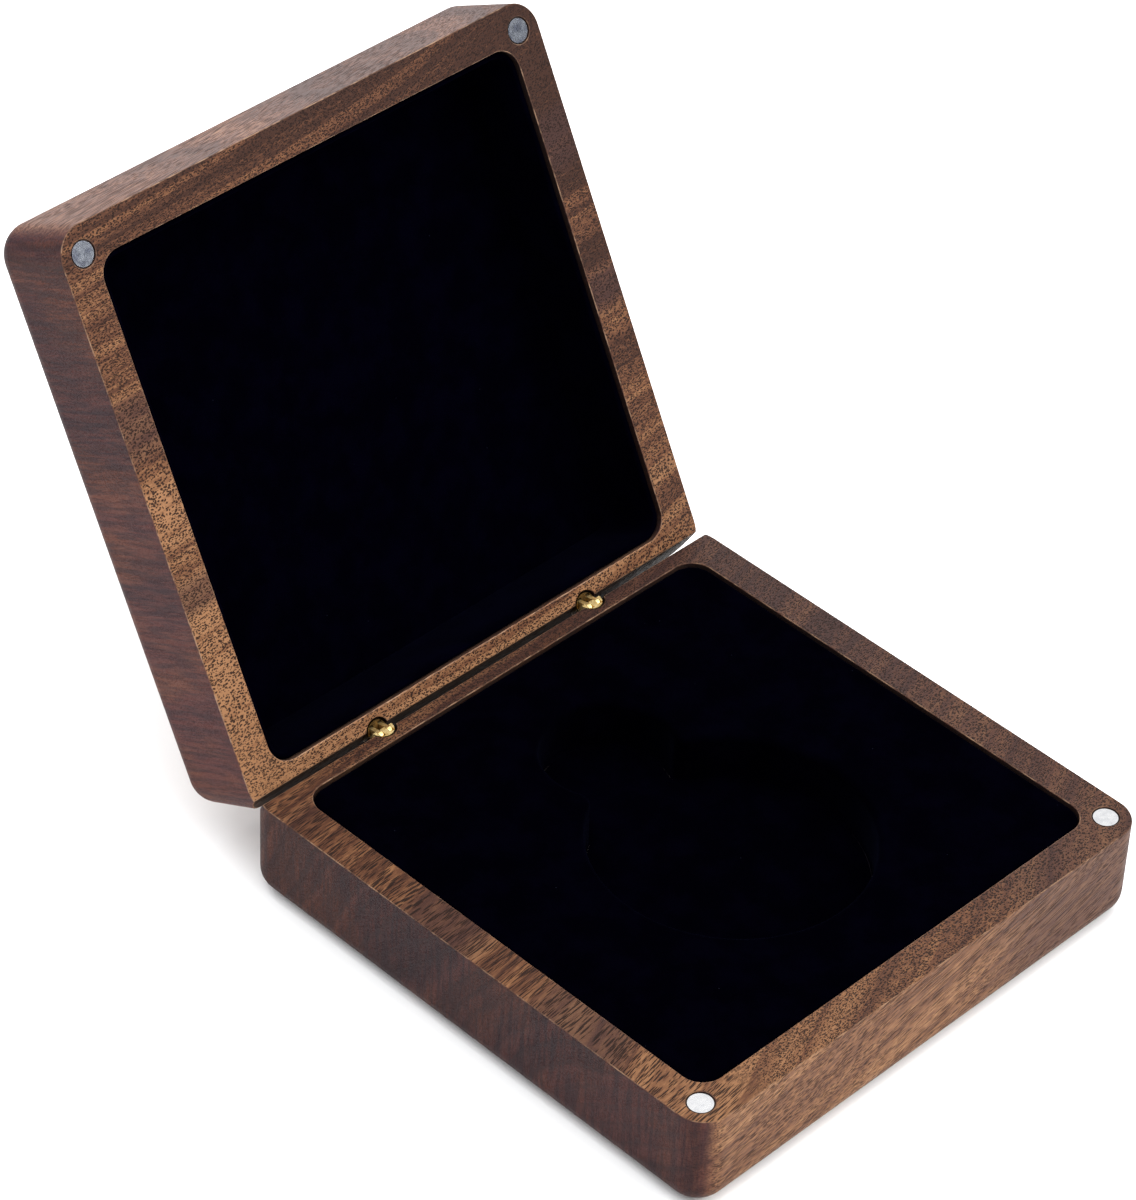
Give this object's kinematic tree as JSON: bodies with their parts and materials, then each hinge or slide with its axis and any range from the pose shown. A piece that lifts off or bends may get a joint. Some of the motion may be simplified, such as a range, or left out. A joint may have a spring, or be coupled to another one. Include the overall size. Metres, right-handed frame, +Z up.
{
  "type": "watch box",
  "caption": "Shallow square walnut box with rounded edges, a hinged lid standing open, dark velvet lining and a keyhole-shaped watch recess.",
  "frame": {"origin": "centre of the base block's flat underside", "axes": "+Z up out of the base, +Y towards the hinges, -Y towards the front edge with the magnets, +X to the right seen from the front"},
  "size_m": [0.1, 0.1566, 0.1022],
  "materials": {
    "walnut": "satin oiled walnut with open grain",
    "velvet": "blue-black short-pile velvet",
    "foam": "closed-cell foam",
    "card": "grey backing card",
    "brass": "turned brass",
    "pin_steel": "drawn steel wire",
    "magnet_nickel": "nickel plate"
  },
  "bodies": {
    "base": {"base_block": "walnut", "insert_backing": "card", "insert_foam": "foam", "insert_velvet": "velvet", "recess_wall_velvet": "velvet", "recess_floor_velvet": "velvet", "base_magnet_left": "magnet_nickel", "base_magnet_right": "magnet_nickel", "base_barrel_left": "brass", "base_barrel_right": "brass", "base_pin_left": "pin_steel", "base_pin_right": "pin_steel"},
    "hinge_links": {"link_left_outer": "brass", "link_left_inner": "brass", "link_right_inner": "brass", "link_right_outer": "brass"},
    "lid": {"lid_block": "walnut", "lid_panel_card": "card", "lid_panel_velvet": "velvet", "lid_strip_front": "velvet", "lid_strip_rear": "velvet", "lid_strip_left": "velvet", "lid_strip_right": "velvet", "lid_magnet_left": "magnet_nickel", "lid_magnet_right": "magnet_nickel", "lid_barrel_left": "brass", "lid_barrel_right": "brass", "lid_pin_left": "pin_steel", "lid_pin_right": "pin_steel"}
  },
  "joints": [
    {"name": "lid_hinge", "type": "hinge", "parent": "base", "child": "lid", "pos_m": [0, 0.04678, 0.01737], "axis": [1, 0, 0], "range_deg": [0, 117.6]},
    {"name": "link_turn", "type": "hinge", "parent": "base", "child": "hinge_links", "pos_m": [0, 0.0465, 0.01715], "axis": [1, 0, 0], "range_deg": [0, 102.9]}
  ],
  "couplings": [
    {"joint": "link_turn", "follows": "lid_hinge", "ratio": 0.875}
  ]
}
